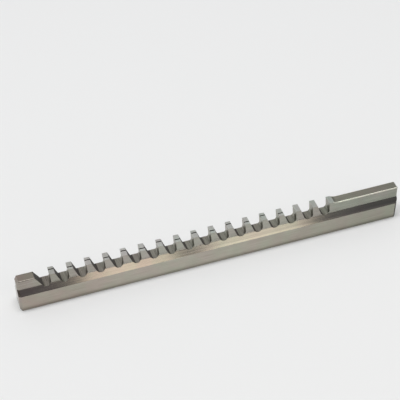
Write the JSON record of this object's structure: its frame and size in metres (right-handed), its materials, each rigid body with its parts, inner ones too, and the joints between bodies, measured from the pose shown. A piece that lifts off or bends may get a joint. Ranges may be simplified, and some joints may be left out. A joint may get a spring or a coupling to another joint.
{
  "type": "keyway broach",
  "caption": "Push-type keyway broach: a shouldered steel bar with a narrow row of raked teeth that cuts a keyway as it is pushed through a bore.",
  "frame": {"origin": "middle of the flat underside of the body", "axes": "+X along the bar from the pilot to the rear end, which is the end that is pushed; +Z from the underside towards the teeth; +Y across the bar"},
  "size_m": [0.3194, 0.016, 0.031],
  "materials": {
    "broach_steel": "ground high-speed steel, satin, with fine grinding lines"
  },
  "bodies": {
    "root": {"keyway_broach": "broach_steel"}
  },
  "joints": []
}
